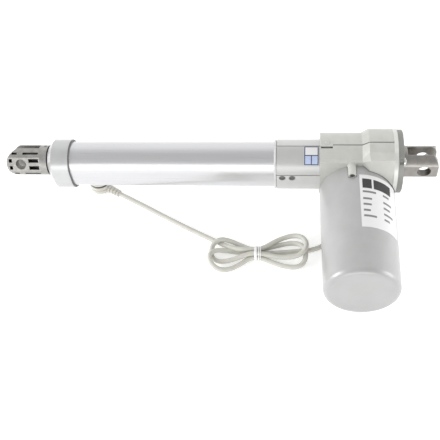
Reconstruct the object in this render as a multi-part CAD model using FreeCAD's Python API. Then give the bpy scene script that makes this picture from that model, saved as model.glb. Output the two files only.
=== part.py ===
import FreeCAD, Part
import math
import os

# Electric linear actuator with a worm-geared motor at right angles to its spindle.
# Millimetres. X runs along the spindle, Z is up, and the motor points along -Y.
# The origin is the centre of the hole in the rear clevis. The push rod leaves at -X.

V = FreeCAD.Vector

# ---- driving dimensions --------------------------------------------------------------
STROKE = 200.0
HOLE_SPACING = 375.0            # rear hole to front hole, retracted
SPINDLE_LEAD = 8.0              # travel per turn of the spindle
WHEEL_TEETH = 26
WORM_STARTS = 2
GEAR_MODULE = 1.0
CENTRE_DISTANCE = 18.0          # spindle axis to worm axis

TUBE_R = 17.75                  # upper and lower radius of the stadium-shaped tube
TUBE_DROP = 9.2                 # how far the lower arc's centre lies below the spindle
TUBE_WALL = 2.0
TUBE_X0 = -326.4
TUBE_X1 = -118.0

CAP_R = 20.0
CAP_FACE_X = -348.3
CAP_SHOULDER_X = -343.3
CAP_SEAM_X = -327.0

NECK_R = 19.9
NECK_X0 = -132.8
NECK_SPLIT_Z = 1.0              # lower edge of the neck's loose front panel
HOUSING_X0 = -93.0              # left face of the gear housing
RAMP_X0 = -56.0                 # the housing widens from here
RAMP_X1 = -50.0                 # to here
HOUSING_X1 = -28.6              # right face of the gear housing
PLATE_X0 = -25.1                # a bearing retainer ring fills the space up to the end plate
PLATE_X1 = -20.2
SPLIT_Y = -4.0                  # the two housing castings meet here
BODY_R = 26.0
CHAMBER_R = 29.4
RETAINER_R = 29.6
PLATE_R = 28.8
HOUSING_BOTTOM_Z = -34.0
FACE_Y = -20.5                  # front face of the housing, where the motor joins

MOTOR_X = -58.8
MOTOR_Z = -CENTRE_DISTANCE
MOTOR_R0 = 33.8                 # cover radius at the housing
MOTOR_R1 = 32.1                 # cover radius before its rounded end
MOTOR_END_Y = -133.0
MOTOR_END_FILLET = 5.0
COVER_WALL = 1.8
TABLE_Z = MOTOR_Z - MOTOR_R0    # what the actuator lies on

ROD_R = 11.0
ROD_BORE_R = 8.5
ROD_X0 = -356.0
SPINDLE_R = 7.0
JOURNAL_R = 8.5
SPINDLE_X0 = -316.0
NUT_R = 15.2
NUT_X0 = -112.0
NUT_X1 = -84.0

CLEVIS_R = 14.2
FRONT_HOLE_X = -HOLE_SPACING
FRONT_HOLE_R = 5.1
FRONT_HALF_WIDTH = 12.5         # hole axis to each outer flat
FRONT_HALF_SLOT = 4.5
FRONT_BACK_X = -349.7
CLEVIS_PIN_X = -353.0
FRONT_TILT = 26.6               # degrees: the front clevis is turned this far about X
REAR_HOLE_R = 6.05
REAR_HALF_WIDTH = 12.85
REAR_HALF_SLOT = 5.1
REAR_TIP_X = 12.2
REAR_SLOT_X = -15.0

CORD_D = 4.6
CORD_Z = TABLE_Z + CORD_D / 2   # a cord's centre where it lies on the table
GLAND_X = -83.5
GLAND_Z = -47.5
GLAND_END_Y = -33.5
# From the gland, down beside the motor and round to the right end of the hank.
LEAD_ROUTE = [
    (GLAND_X, GLAND_END_Y, GLAND_Z),
    (GLAND_X, -42.0, GLAND_Z),
    (-83.0, -51.5, -49.4),
    (-87.5, -60.5, CORD_Z),
    (-97.5, -65.6, CORD_Z),
    (-104.5, -66.9, CORD_Z),
]
# From the left end of the hank to the plug's strain relief.
PLUG_ROUTE = [
    (-188.0, -58.2, CORD_Z),
    (-212.5, -45.4, CORD_Z),
    (-241.5, -28.9, CORD_Z),
    (-267.5, -13.2, CORD_Z),
    (-291.0, -0.6, CORD_Z + 1.1),
]
RELIEF_R0 = CORD_D / 2 + 1.1    # the bend relief's radius at the cord
RELIEF_R1 = 4.1                 # and at the plug
PLUG_CENTRE = (-312.3, 11.6)
PLUG_R = 11.0

PARTS = {}


def add(name, *solids):
    """Keeps the solids under a node's name; several solids become one group."""
    PARTS[name] = solids[0] if len(solids) == 1 else Part.makeCompound(list(solids))


# ---- basic shapes --------------------------------------------------------------------
def rod_x(r, x0, x1, y=0.0, z=0.0):
    return Part.makeCylinder(r, x1 - x0, V(x0, y, z), V(1, 0, 0))


def ring_x(r_out, r_in, x0, x1, y=0.0, z=0.0):
    return rod_x(r_out, x0, x1, y, z).cut(rod_x(r_in, x0 - 1, x1 + 1, y, z))


def rod_y(r, y0, y1, x=MOTOR_X, z=MOTOR_Z):
    return Part.makeCylinder(r, y1 - y0, V(x, y0, z), V(0, 1, 0))


def ring_y(r_out, r_in, y0, y1, x=MOTOR_X, z=MOTOR_Z):
    return rod_y(r_out, y0, y1, x, z).cut(rod_y(r_in, y0 - 1, y1 + 1, x, z))


def rod_z(r, z0, z1, x, y):
    return Part.makeCylinder(r, z1 - z0, V(x, y, z0))


def box(x0, x1, y0, y1, z0, z1):
    return Part.makeBox(x1 - x0, y1 - y0, z1 - z0, V(x0, y0, z0))


def oval_wire(x, r, drop):
    """The tube's outline at one X: a half circle, two straight sides, a lower half circle."""
    left = V(x, -r, 0)
    right = V(x, r, 0)
    low_left = V(x, -r, -drop)
    low_right = V(x, r, -drop)
    return Part.Wire([
        Part.Arc(left, V(x, 0, r), right).toShape(),
        Part.LineSegment(right, low_right).toShape(),
        Part.Arc(low_right, V(x, 0, -drop - r), low_left).toShape(),
        Part.LineSegment(low_left, left).toShape(),
    ])


def oval(r, x0, x1, drop=TUBE_DROP):
    return Part.Face(oval_wire(x0, r, drop)).extrude(V(x1 - x0, 0, 0))


def oval_ring(r_out, r_in, x0, x1):
    return oval(r_out, x0, x1).cut(oval(r_in, x0 - 1, x1 + 1))


def turned_y(outline, x=MOTOR_X, z=MOTOR_Z):
    """A solid turned about the motor axis from a closed list of edges drawn at that axis."""
    face = Part.Face(Part.Wire(outline))
    return face.revolve(V(x, 0, z), V(0, 1, 0), 360)


def line(a, b):
    return Part.LineSegment(a, b).toShape()


# ---- tube, cap and neck --------------------------------------------------------------
def make_tube():
    add("outer_tube", oval_ring(TUBE_R, TUBE_R - TUBE_WALL, TUBE_X0, TUBE_X1))
    add("cap_gasket", oval_ring(CAP_R - 0.5, TUBE_R - TUBE_WALL, CAP_SEAM_X, TUBE_X0))
    add("neck_gasket", oval_ring(NECK_R - 0.2, TUBE_R, NECK_X0 - 1.6, NECK_X0))


def make_cap():
    """Front cap: a tapered nose, an oval skirt, and a spigot that fills the tube's mouth."""
    nose = Part.makeLoft(
        [oval_wire(CAP_FACE_X, 14.4, 2.5), oval_wire(CAP_SHOULDER_X, CAP_R, TUBE_DROP)],
        True, True)
    skirt = oval(CAP_R, CAP_SHOULDER_X, CAP_SEAM_X)
    spigot = oval(TUBE_R - TUBE_WALL - 0.1, CAP_SEAM_X, CAP_SEAM_X + 7)
    cap = nose.fuse([skirt, spigot]).removeSplitter()
    cap = cap.cut(rod_x(13.0, CAP_FACE_X - 1, CAP_SEAM_X + 8))
    add("front_cap", cap)
    add("guide_bush", ring_x(12.95, ROD_R + 0.05, CAP_FACE_X + 5, CAP_SEAM_X + 6))
    lip = Part.makeCone(12.9, 11.7, 1.2, V(CAP_FACE_X + 1.4, 0, 0), V(-1, 0, 0))
    seal = rod_x(12.9, CAP_FACE_X + 1.4, CAP_FACE_X + 4.9).fuse(lip)
    add("wiper_seal", seal.cut(rod_x(ROD_R + 0.05, CAP_FACE_X - 1, CAP_FACE_X + 6)))


NECK_GROOVE = 0.8               # width of the groove round the neck, beside its gasket
NECK_GROOVE_DEPTH = 1.1
PANEL_GAP = 0.5


def neck_quarter(r_out, r_in, x0, x1, gap):
    """The upper front quarter of the neck, cut back by a gap on its two long sides."""
    quarter = box(x0 - 1, x1 + 1, -40, -gap, NECK_SPLIT_Z + gap, 40)
    return oval_ring(r_out, r_in, x0, x1).common(quarter)


NECK_SCREW_X = (-126.8, -117.8)
NECK_SCREW_Z = -2.1
NECK_SCREW_SINK = 1.0           # the screw heads sit this deep in round holes
NECK_SCREW_R = 3.0


def neck_cylinder(x, side, r, depth, length):
    """A cylinder square to the neck's front (side -1) or back (side 1), from a depth inwards."""
    place = V(x, side * (NECK_R - depth), NECK_SCREW_Z)
    return Part.makeCylinder(r, length, place, V(0, -side, 0))


def neck_screw(x, side):
    """A flat-headed screw sunk into the neck."""
    head = neck_cylinder(x, side, NECK_SCREW_R, NECK_SCREW_SINK, 0.9)
    return head.fuse(neck_cylinder(x, side, 1.4, NECK_SCREW_SINK, 3.4))


def make_neck():
    full_x0 = NECK_X0 + NECK_GROOVE
    lip = oval_ring(NECK_R - NECK_GROOVE_DEPTH, TUBE_R + 0.05, NECK_X0, full_x0)
    sleeve = oval_ring(NECK_R, TUBE_R + 0.05, full_x0, TUBE_X1)
    throat = oval_ring(NECK_R, TUBE_R - TUBE_WALL, TUBE_X1, HOUSING_X0)
    shell = lip.fuse([sleeve, throat]).removeSplitter()
    shell = shell.cut(box(full_x0, HOUSING_X0 + 1, -40, 0, NECK_SPLIT_Z, 40))
    places = [(x, side) for x in NECK_SCREW_X for side in (-1, 1)]
    screws = [neck_screw(x, side) for x, side in places]
    for screw, (x, side) in zip(screws, places):
        shell = shell.cut(screw)
        shell = shell.cut(neck_cylinder(x, side, NECK_SCREW_R, -1.0, NECK_SCREW_SINK + 1.0))
    # Clearance for the screws through the aluminium tube's wall.
    tube = PARTS["outer_tube"]
    for screw in screws:
        tube = tube.cut(screw)
    add("outer_tube", tube)
    add("neck_shell", shell)
    panel = neck_quarter(NECK_R - 0.25, TUBE_R + 0.05, full_x0, HOUSING_X0 - 0.1, PANEL_GAP)
    add("neck_panel", panel)
    add("neck_screws", *screws)


# ---- gear housing --------------------------------------------------------------------
def front_profile(x, r, ledge_z, ledge_y, belly_y):
    """Half outline of the front casting at one X, closed along the split plane."""
    top = V(x, SPLIT_Y, math.sqrt(r * r - SPLIT_Y * SPLIT_Y))
    start = V(x, -math.sqrt(r * r - ledge_z * ledge_z), ledge_z)
    middle_angle = 0.5 * (math.atan2(top.z, -top.y) + math.atan2(start.z, -start.y))
    middle = V(x, -r * math.cos(middle_angle), r * math.sin(middle_angle))
    corner = V(x, ledge_y, ledge_z)
    belly = V(x, belly_y, 0)
    low_r = -belly_y
    low_centre_z = HOUSING_BOTTOM_Z + low_r
    hip = V(x, belly_y, low_centre_z)
    foot = V(x, SPLIT_Y, HOUSING_BOTTOM_Z)
    bend = V(x, belly_y + low_r * 0.29, HOUSING_BOTTOM_Z + low_r * 0.29)
    return Part.Wire([
        Part.Arc(top, middle, start).toShape(),
        line(start, corner),
        line(corner, belly),
        line(belly, hip),
        Part.Arc(hip, bend, foot).toShape(),
        line(foot, top),
    ])


def rear_profile(x, r):
    """Half outline of the rear casting at one X, closed along the split plane."""
    top = V(x, SPLIT_Y, math.sqrt(r * r - SPLIT_Y * SPLIT_Y))
    side = V(x, r, 0)
    upper = V(x, r * math.cos(math.radians(50)), r * math.sin(math.radians(50)))
    low_centre_z = HOUSING_BOTTOM_Z + r
    hip = V(x, r, min(low_centre_z, -0.5))
    foot = V(x, 0, HOUSING_BOTTOM_Z)
    bend = V(x, r * 0.7071, low_centre_z - r * 0.7071)
    heel = V(x, SPLIT_Y, HOUSING_BOTTOM_Z)
    return Part.Wire([
        Part.Arc(top, upper, side).toShape(),
        line(side, hip),
        Part.Arc(hip, bend, foot).toShape(),
        line(foot, heel),
        line(heel, top),
    ])


def swept_halves(profile, body_args, chamber_args):
    """The narrow body, the ramp and the wide chamber of one casting, joined."""
    body = profile(HOUSING_X0, *body_args)
    body = Part.Face(body).extrude(V(RAMP_X0 - HOUSING_X0, 0, 0))
    ramp = Part.makeLoft(
        [profile(RAMP_X0, *body_args), profile(RAMP_X1, *chamber_args)], True, True)
    chamber = Part.Face(profile(RAMP_X1, *chamber_args))
    chamber = chamber.extrude(V(HOUSING_X1 - RAMP_X1, 0, 0))
    return body.fuse([ramp, chamber]).removeSplitter()


END_SCREW_AT = 16.8             # Y and Z of the four end-plate screws, either side
END_SCREWS = [(y, z) for y in (-END_SCREW_AT, END_SCREW_AT) for z in (-END_SCREW_AT, END_SCREW_AT)]
HOUSING_SCREWS = [(-65.2, 15.6), (-86.0, -27.0), (-45.5, -27.0)]
LUG_X0 = -88.3                  # left face of the lug that holds the cord gland
BOSS_ROOT_R = 4.4               # the first housing screw stands in a tapering boss
BOSS_END_R = 3.5
BOSS_END_Y = -33.0
BOSS_SCREW_SINK = 2.2
SCREW_SINK = 0.6
SEAM_WIDTH = 1.0                # groove along the top joint of the two castings
SEAM_DEPTH = 1.3


def housing_cavity():
    """Everything that the spindle, wheel, worm and bearings need inside the castings."""
    return [
        rod_x(15.8, HOUSING_X0 - 1, -80.0),
        rod_x(17.5, -80.0, -70.0),
        rod_x(18.0, -70.0, -45.0),
        rod_x(20.0, -45.0, HOUSING_X1 + 1),
        rod_y(8.0, -14.0, 14.0),
        rod_y(5.0, 14.0, 21.0),
        rod_y(11.0, FACE_Y - 1, -13.0),
        box(HOUSING_X0 - 1, -90.0, -9, 9, -25.5, -14),
    ]


def cover_recess():
    """The round space that the motor cover takes out of the wide chamber's front."""
    return rod_y(MOTOR_R0 + 0.35, -60, FACE_Y)


def screw_boss(allowance):
    """The tapering boss round the first housing screw, larger all round by an allowance."""
    x, z = HOUSING_SCREWS[0]
    end_y = BOSS_END_Y - allowance
    return Part.makeCone(BOSS_END_R + allowance, BOSS_ROOT_R + allowance, -10.0 - end_y,
                         V(x, end_y, z), V(0, 1, 0))


def seam_groove():
    """A narrow groove at the top of the castings' joint; it climbs with the ramp."""
    low = math.sqrt(BODY_R ** 2 - SPLIT_Y ** 2) - SEAM_DEPTH
    high = math.sqrt(CHAMBER_R ** 2 - SPLIT_Y ** 2) - SEAM_DEPTH
    side_view = [(-82.0, low), (RAMP_X0, low), (RAMP_X1, high), (HOUSING_X1 + 1, high),
                 (HOUSING_X1 + 1, 40), (-82.0, 40), (-82.0, low)]
    outline = Part.makePolygon([V(x, SPLIT_Y - SEAM_WIDTH, z) for x, z in side_view])
    return Part.Face(outline).extrude(V(0, SEAM_WIDTH + 0.1, 0))


def make_housing():
    front = swept_halves(
        front_profile, (BODY_R, 20.0, FACE_Y, FACE_Y), (CHAMBER_R, 26.0, -24.0, -29.2))
    rear = swept_halves(rear_profile, (BODY_R,), (CHAMBER_R,))
    # Round motor flange, the lug that holds the cord gland, and the web between them.
    front = front.fuse(rod_y(MOTOR_R0, FACE_Y, FACE_Y + 8))
    front = front.fuse(box(LUG_X0, -79.3, FACE_Y, -8.0, TABLE_Z + 0.5, -20.0))
    front = front.cut(box(HOUSING_X1, 0, -60, 60, -60, 60))
    front = front.cut(cover_recess())
    front = front.fuse(screw_boss(0.0))
    screws = []
    for x, z in HOUSING_SCREWS:
        in_boss = (x, z) == HOUSING_SCREWS[0]
        head_y = BOSS_END_Y + BOSS_SCREW_SINK if in_boss else FACE_Y + SCREW_SINK
        shank = rod_y(1.5, head_y + 1.4, 12.0, x, z)
        head = rod_y(2.4, head_y, head_y + 1.4, x, z)
        front = front.cut(rod_y(2.45, head_y - 20, head_y + 1.4, x, z))
        front = front.cut(rod_y(1.55, head_y, 13.0, x, z))
        rear = rear.cut(rod_y(1.5, SPLIT_Y - 1, 12.0, x, z))
        screws.append(head.fuse(shank))
    for cavity in housing_cavity():
        front = front.cut(cavity)
        rear = rear.cut(cavity)
    front = front.cut(seam_groove())
    # A short slot opens the top of the front casting next to the neck, with a peg beside it.
    front = front.cut(box(HOUSING_X0 + 0.5, -82.0, SPLIT_Y - 4.0, SPLIT_Y - 1.8, 22.0, 30))
    rear = rear.fuse(rod_z(1.9, 24.0, 26.6, -87.0, SPLIT_Y + 2.2))
    for y, z in END_SCREWS:
        hole = rod_x(1.9, -38.0, HOUSING_X1 + 1, y, z)
        front = front.cut(hole)
        rear = rear.cut(hole)
    front = front.cut(rod_y(2.0, FACE_Y - 1, -7.0, GLAND_X, GLAND_Z))
    for x, z in motor_screw_places():
        front = front.cut(rod_y(1.8, FACE_Y - 1, -12.0, x, z))
    add("gear_housing_front", front.removeSplitter())
    add("gear_housing_rear", rear.removeSplitter())
    add("housing_screws", *screws)


def make_end():
    """Bearing retainer ring, and the end plate with its four pan-head screws."""
    retainer = ring_x(RETAINER_R, 18.0, HOUSING_X1, PLATE_X0).cut(cover_recess())
    plate = ring_x(PLATE_R, 9.0, PLATE_X0, PLATE_X1).cut(cover_recess())
    screws = []
    for y, z in END_SCREWS:
        shank = rod_x(1.9, -36.0, PLATE_X1, y, z)
        retainer = retainer.cut(shank)
        # A notch in the plate's rim gives a tool room beside each head.
        rim_y = y * PLATE_R / math.hypot(y, z)
        rim_z = z * PLATE_R / math.hypot(y, z)
        plate = plate.cut(shank).cut(rod_x(2.3, PLATE_X0 + 1.2, PLATE_X1 + 1, rim_y, rim_z))
        dome = Part.makeSphere(5.0, V(PLATE_X1 - 2.2, y, z)).common(
            rod_x(3.5, PLATE_X1, PLATE_X1 + 3.0, y, z))
        cross = box(PLATE_X1 + 1.6, PLATE_X1 + 4, y - 2, y + 2, z - 0.4, z + 0.4).fuse(
            box(PLATE_X1 + 1.6, PLATE_X1 + 4, y - 0.4, y + 0.4, z - 2, z + 2))
        screws.append(shank.fuse(dome).cut(cross))
    add("bearing_retainer", retainer)
    add("end_plate", plate)
    add("end_plate_screws", *screws)


def make_rear_clevis():
    bar = rod_x(CLEVIS_R, PLATE_X1, REAR_TIP_X)
    flats = box(PLATE_X1, REAR_TIP_X, -REAR_HALF_WIDTH, REAR_HALF_WIDTH, -20, 20)
    corner = 9.0
    outline = box(PLATE_X1 - 20, REAR_TIP_X, -20, 20, -CLEVIS_R, CLEVIS_R)
    tip_edges = [e for e in outline.Edges
                 if abs(e.CenterOfMass.x - REAR_TIP_X) < 0.01 and abs(e.CenterOfMass.y) < 0.01]
    outline = outline.makeFillet(corner, tip_edges)
    clevis = bar.common(flats).common(outline)
    slot = box(REAR_SLOT_X, REAR_TIP_X + 1, -REAR_HALF_SLOT, REAR_HALF_SLOT, -20, 20)
    clevis = clevis.cut(slot)
    clevis = clevis.cut(rod_y(REAR_HOLE_R, -20, 20, 0, 0))
    stud = rod_x(9.0, PLATE_X0, PLATE_X1).fuse(rod_x(12.0, PLATE_X0 - 1.2, PLATE_X0))
    add("rear_clevis", clevis.fuse(stud).removeSplitter())


# ---- motor ---------------------------------------------------------------------------
def motor_screw_places():
    reach = 24.0
    angles = [math.radians(a) for a in (210, 270, 330)]
    return [(MOTOR_X + reach * math.cos(a), MOTOR_Z + reach * math.sin(a)) for a in angles]


def cover_outline(inset):
    """Half section of the motor cover, drawn to one side of the motor axis."""
    r0 = MOTOR_R0 - inset
    r1 = MOTOR_R1 - inset
    end = MOTOR_END_Y + inset
    fillet = MOTOR_END_FILLET - inset
    turn = fillet * (1 - math.cos(math.radians(45)))

    def at(r, y):
        return V(MOTOR_X + r, y, MOTOR_Z)

    return [
        line(at(0, FACE_Y), at(r0, FACE_Y)),
        line(at(r0, FACE_Y), at(r1, end + fillet)),
        Part.Arc(at(r1, end + fillet), at(r1 - turn, end + turn), at(r1 - fillet, end)).toShape(),
        line(at(r1 - fillet, end), at(0, end)),
        line(at(0, end), at(0, FACE_Y)),
    ]


def make_cover():
    cover = turned_y(cover_outline(0)).cut(turned_y(cover_outline(COVER_WALL)))
    add("motor_cover", cover.cut(screw_boss(0.35)))


def make_motor():
    """The permanent-magnet motor under the cover, and its shaft with the worm."""
    flange = ring_y(27.0, 11.0, -24.5, FACE_Y)
    screws = []
    for x, z in motor_screw_places():
        flange = flange.cut(rod_y(1.8, -25, FACE_Y + 1, x, z))
        screws.append(rod_y(1.8, -24.5, -13.0, x, z).fuse(rod_y(2.6, -26.4, -24.5, x, z)))
    add("motor_flange", flange)
    add("motor_screws", *screws)
    can = ring_y(29.5, 27.5, -112.0, -24.5).fuse(
        ring_y(29.5, 27.0, -24.5, FACE_Y - 1.0)).removeSplitter()
    add("motor_can", can)
    magnets = []
    for side in (-1, 1):
        arc = ring_y(27.4, 23.0, -100.0, -40.0)
        keep = box(MOTOR_X + min(0, side * 40), MOTOR_X + max(0, side * 40),
                   -101, -39, MOTOR_Z - 19, MOTOR_Z + 19)
        magnets.append(arc.common(keep))
    add("motor_magnets", *magnets)
    bell = rod_y(29.5, -115.0, -112.0).fuse(rod_y(8.0, -119.0, -115.0))
    for a, b in ((-20.0, -11.0), (11.0, 20.0)):
        holder = box(MOTOR_X + a, MOTOR_X + b, -112.0, -103.0, MOTOR_Z - 5, MOTOR_Z + 5)
        window = box(MOTOR_X + a - 1, MOTOR_X + b + 1, -110.4, -104.5,
                     MOTOR_Z - 3.1, MOTOR_Z + 3.1)
        bell = bell.fuse(holder.cut(window))
    add("motor_end_bell", bell.cut(rod_y(4.05, -117.5, -111.0)).removeSplitter())
    add("brushes", *[box(MOTOR_X + a, MOTOR_X + b, -110.2, -104.7, MOTOR_Z - 3, MOTOR_Z + 3)
                     for a, b in ((-18.0, -9.4), (9.4, 18.0))])
    bearing = ring_y(11.0, 8.6, FACE_Y, -14.0)
    add("motor_bearing_outer", bearing)
    add("worm_end_bush", ring_y(5.0, 4.05, 14.0, 20.0))


def make_rotor():
    add("motor_shaft", rod_y(4.0, -116.5, 18.0))
    stack = ring_y(22.0, 4.0, -95.0, -45.0)
    slots = []
    for k in range(12):
        slot = box(MOTOR_X + 14, MOTOR_X + 23, -96, -44, MOTOR_Z - 1.4, MOTOR_Z + 1.4)
        slot.rotate(V(MOTOR_X, 0, MOTOR_Z), V(0, 1, 0), 30 * k)
        slots.append(slot)
    add("armature_core", stack.cut(Part.makeCompound(slots)))
    add("armature_windings", ring_y(20.0, 6.0, -45.0, -36.0), ring_y(20.0, 6.0, -102.0, -95.0))
    bars = ring_y(9.0, 4.0, -111.5, -103.0)
    cuts = []
    for k in range(12):
        cut = box(MOTOR_X + 7.5, MOTOR_X + 10, -112, -102.9, MOTOR_Z - 0.25, MOTOR_Z + 0.25)
        cut.rotate(V(MOTOR_X, 0, MOTOR_Z), V(0, 1, 0), 30 * k)
        cuts.append(cut)
    add("commutator", bars.cut(Part.makeCompound(cuts)))
    add("motor_bearing_inner", ring_y(8.4, 4.0, FACE_Y + 0.5, -14.5))


# ---- spindle, wheel and worm ---------------------------------------------------------
WORM_ROOT_R = 3.9 + 0.15
WORM_TIP_R = 5.6
WORM_HALF_LENGTH = 9.0
WHEEL_ROOT_R = 12.1
WHEEL_TIP_R = 13.35
WHEEL_HALF_WIDTH = 6.0
WHEEL_TOOTH_HALF_ANGLE = 2.7    # degrees, at the middle of a tooth
LEAD_ANGLE = math.degrees(math.atan2(WORM_STARTS * GEAR_MODULE, 10.0))


def make_worm():
    """Two-start worm: a core with two helical threads, centred under the wheel."""
    lead = math.pi * GEAR_MODULE * WORM_STARTS
    length = 2 * WORM_HALF_LENGTH - 2
    threads = []
    for start in range(WORM_STARTS):
        helix = Part.makeHelix(lead, length, WORM_ROOT_R)
        half_root = 0.62
        half_tip = 0.34
        inner = WORM_ROOT_R - 0.3
        profile = Part.makePolygon([
            V(inner, 0, -half_root), V(WORM_TIP_R, 0, -half_tip),
            V(WORM_TIP_R, 0, half_tip), V(inner, 0, half_root), V(inner, 0, -half_root)])
        thread = Part.Wire(helix).makePipeShell([profile], True, True)
        thread.rotate(V(0, 0, 0), V(0, 0, 1), 360.0 * start / WORM_STARTS)
        threads.append(thread)
    core = Part.makeCylinder(WORM_ROOT_R + 0.45, 2 * WORM_HALF_LENGTH,
                             V(0, 0, -1))
    worm = core.fuse(threads)
    worm = worm.cut(Part.makeCylinder(4.0, 40, V(0, 0, -10)))
    worm.translate(V(0, 0, -length / 2))
    worm.rotate(V(0, 0, 0), V(1, 0, 0), -90)
    worm.translate(V(MOTOR_X, 0, MOTOR_Z))
    add("worm", worm)


def make_wheel():
    """Worm wheel with straight teeth set at the worm's lead angle."""
    hub = ring_x(WHEEL_ROOT_R, JOURNAL_R, MOTOR_X - WHEEL_HALF_WIDTH, MOTOR_X + WHEEL_HALF_WIDTH)
    teeth = []
    for k in range(WHEEL_TEETH):
        tooth = box(-WHEEL_HALF_WIDTH - 2, WHEEL_HALF_WIDTH + 2,
                    -WHEEL_ROOT_R * math.radians(WHEEL_TOOTH_HALF_ANGLE),
                    WHEEL_ROOT_R * math.radians(WHEEL_TOOTH_HALF_ANGLE),
                    WHEEL_ROOT_R - 0.5, WHEEL_TIP_R)
        tooth.rotate(V(0, 0, 0), V(0, 0, 1), -LEAD_ANGLE)
        tooth.rotate(V(0, 0, 0), V(1, 0, 0), 180.0 + 360.0 * (k + 0.5) / WHEEL_TEETH)
        tooth.translate(V(MOTOR_X, 0, 0))
        teeth.append(tooth)
    wheel = hub.fuse(teeth)
    wheel = wheel.common(rod_x(WHEEL_TIP_R, MOTOR_X - WHEEL_HALF_WIDTH,
                               MOTOR_X + WHEEL_HALF_WIDTH))
    add("worm_wheel", wheel)


def make_spindle():
    screw = rod_x(SPINDLE_R, SPINDLE_X0, -80.5)
    journal = rod_x(JOURNAL_R, -80.5, -28.0)
    spindle = screw.fuse(journal).removeSplitter()
    spindle = spindle.cut(rod_x(2.5, SPINDLE_X0 - 1, SPINDLE_X0 + 12))
    key_slot = box(-63.0, -54.0, -1.5, 1.5, 6.5, 9.5)
    add("spindle", spindle.cut(key_slot))
    add("wheel_key", box(-63.0, -54.0, -1.5, 1.5, 6.5, JOURNAL_R - 0.25))
    add("spacer_sleeves", ring_x(11.0, JOURNAL_R, -70.0, MOTOR_X - WHEEL_HALF_WIDTH),
        ring_x(11.0, JOURNAL_R, MOTOR_X + WHEEL_HALF_WIDTH, -45.0))
    add("spindle_locknut", ring_x(12.0, JOURNAL_R, -33.0, -29.0))
    flanged_head = rod_x(8.1, SPINDLE_X0 - 1.5, SPINDLE_X0).fuse(
        rod_x(4.2, SPINDLE_X0 - 4.3, SPINDLE_X0 - 1.5))
    add("end_stop_screw", flanged_head.fuse(rod_x(2.5, SPINDLE_X0, SPINDLE_X0 + 11)))


def ball_bearing(name, r_out, x0, x1, ball_r, balls):
    """Adds a deep-groove bearing's two races and returns its balls, which turn with the inner."""
    ball_centre = 0.5 * (r_out + JOURNAL_R)
    middle = 0.5 * (x0 + x1)
    groove = Part.makeTorus(ball_centre, ball_r + 0.12, V(middle, 0, 0), V(1, 0, 0))
    outer = ring_x(r_out, ball_centre + 0.45 * ball_r, x0, x1).cut(groove)
    inner = ring_x(ball_centre - 0.45 * ball_r, JOURNAL_R, x0, x1).cut(groove)
    add(name + "_outer_race", outer)
    add(name + "_inner_race", inner)
    solids = []
    for k in range(balls):
        angle = 2 * math.pi * k / balls
        centre = V(middle, ball_centre * math.cos(angle), ball_centre * math.sin(angle))
        solids.append(Part.makeSphere(ball_r, centre))
    return solids


def make_bearings():
    balls = ball_bearing("front_bearing", 17.5, -80.0, -70.0, 2.6, 9)
    balls += ball_bearing("rear_bearing", 20.0, -45.0, -33.0, 3.6, 8)
    add("bearing_balls", *balls)


# ---- push rod ------------------------------------------------------------------------
def tilt(shape):
    """Turns a shape about the spindle axis into the front clevis's fitted angle."""
    turned = shape.copy()
    turned.rotate(V(0, 0, 0), V(1, 0, 0), -FRONT_TILT)
    return turned


def make_front_clevis():
    """Cast clevis, drawn with its hole along Y and then turned about X."""
    body = rod_x(CLEVIS_R, FRONT_HOLE_X, FRONT_BACK_X).fuse(
        rod_x(CLEVIS_R, FRONT_HOLE_X - CLEVIS_R, FRONT_HOLE_X))
    side_view = box(FRONT_HOLE_X, FRONT_BACK_X, -20, 20, -CLEVIS_R, CLEVIS_R).fuse(
        rod_y(CLEVIS_R, -20, 20, FRONT_HOLE_X, 0))
    body = body.common(side_view)
    body = body.common(box(-400, FRONT_BACK_X, -FRONT_HALF_WIDTH, FRONT_HALF_WIDTH, -20, 20).fuse(
        rod_x(CLEVIS_R, -356.5, FRONT_BACK_X)))
    body = body.cut(box(-400, -358.0, -FRONT_HALF_SLOT, FRONT_HALF_SLOT, -20, 20))
    body = body.cut(rod_y(FRONT_HOLE_R, -20, 20, FRONT_HOLE_X, 0))
    depth = 6.0
    pockets = []
    for side in (-1, 1):
        y0 = side * (FRONT_HALF_WIDTH - depth)
        y1 = side * (FRONT_HALF_WIDTH + 2)
        low, high = min(y0, y1), max(y0, y1)
        for up in (-1, 1):
            z0, z1 = sorted((up * 1.7, up * 5.4))
            pockets.append(box(-367.4, -357.6, low, high, z0, z1))
            pockets.append(box(-386.6, -383.4, low, high, z0, z1))
            for x0, x1 in ((-373.0, -357.6), (-383.6, -378.4)):
                groove = box(x0, x1, -1.2, 1.2, CLEVIS_R - 2.6, CLEVIS_R + 2)
                groove.rotate(V(0, 0, 0), V(1, 0, 0), -side * up * 45 + (0 if up > 0 else 180))
                pockets.append(groove)
    body = body.cut(Part.makeCompound(pockets))
    body = body.cut(rod_x(ROD_R, ROD_X0, FRONT_BACK_X + 1))
    body = body.fuse(rod_x(ROD_BORE_R, ROD_X0 - 0.5, -340.0))
    pin_hole = rod_z(1.5, -CLEVIS_R - 1, CLEVIS_R + 1, CLEVIS_PIN_X, 0)
    add("front_clevis", tilt(body.cut(pin_hole).removeSplitter()))
    rod = ring_x(ROD_R, ROD_BORE_R, ROD_X0, -100.0)
    rod = rod.cut(tilt(pin_hole))
    add("push_rod", rod)


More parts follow.
